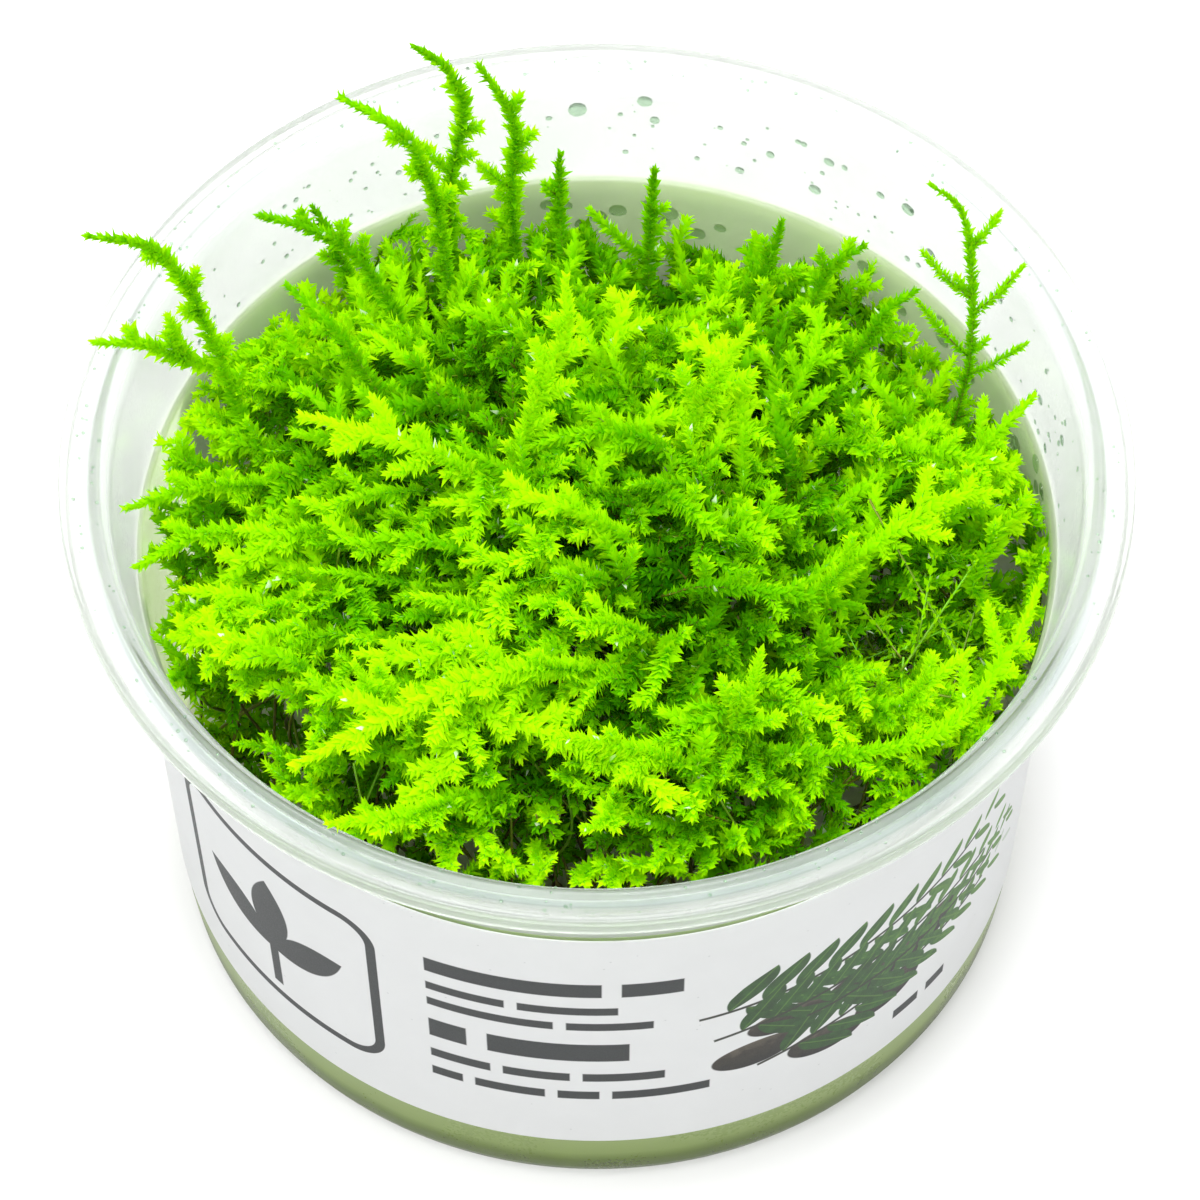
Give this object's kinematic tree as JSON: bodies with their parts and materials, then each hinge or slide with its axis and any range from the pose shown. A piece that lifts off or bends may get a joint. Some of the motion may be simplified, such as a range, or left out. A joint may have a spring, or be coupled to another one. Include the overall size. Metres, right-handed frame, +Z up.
{
  "type": "tissue culture christmas moss",
  "caption": "Open clear plastic cup with a wide flange and a plain wrap-round label, holding growing gel and a tangled cushion of feathery bright green aquarium moss.",
  "frame": {"origin": "centre of the cup's flat base", "axes": "+Z up out of the cup's mouth, -Y towards the viewer of the label's front, +X to the viewer's right"},
  "size_m": [0.1, 0.1, 0.0767],
  "materials": {
    "plastic": "clear, slightly milky moulded plastic",
    "label": "smooth white coated paper",
    "gel": "wet, cloudy jelly",
    "moss_inner": "dense tangled leaves and stems",
    "moss_shoots": "thin bright leaves that let light through"
  },
  "bodies": {
    "root": {"cup": "plastic", "label": "label", "gel": "gel", "moss_mat": "moss_inner", "shoot_left_over_flange": "moss_shoots", "shoot_left_low": "moss_shoots", "shoot_left_wall_a": "moss_shoots", "shoot_left_wall_b": "moss_shoots", "shoot_left_front": "moss_shoots", "shoot_back_left_a": "moss_shoots", "shoot_back_left_b": "moss_shoots", "shoot_back_left_c": "moss_shoots", "shoot_back_over_flange_a": "moss_shoots", "shoot_back_over_flange_b": "moss_shoots", "shoot_back_over_flange_c": "moss_shoots", "shoot_back_a": "moss_shoots", "shoot_back_b": "moss_shoots", "shoot_back_right_a": "moss_shoots", "shoot_back_right_b": "moss_shoots", "shoot_back_right_c": "moss_shoots", "shoot_right_feather": "moss_shoots", "shoot_right_wall": "moss_shoots", "shoot_centre": "moss_shoots", "shoot_centre_left": "moss_shoots", "shoot_centre_right": "moss_shoots", "shoot_front_long": "moss_shoots", "shoot_front_middle": "moss_shoots", "shoot_front_left": "moss_shoots", "shoot_front_over_rim": "moss_shoots", "shoot_front_right": "moss_shoots", "shoot_front_right_arch": "moss_shoots", "shoot_right_arch": "moss_shoots", "shoot_front_tuft": "moss_shoots", "shoot_right_front_tuft": "moss_shoots"}
  },
  "joints": []
}
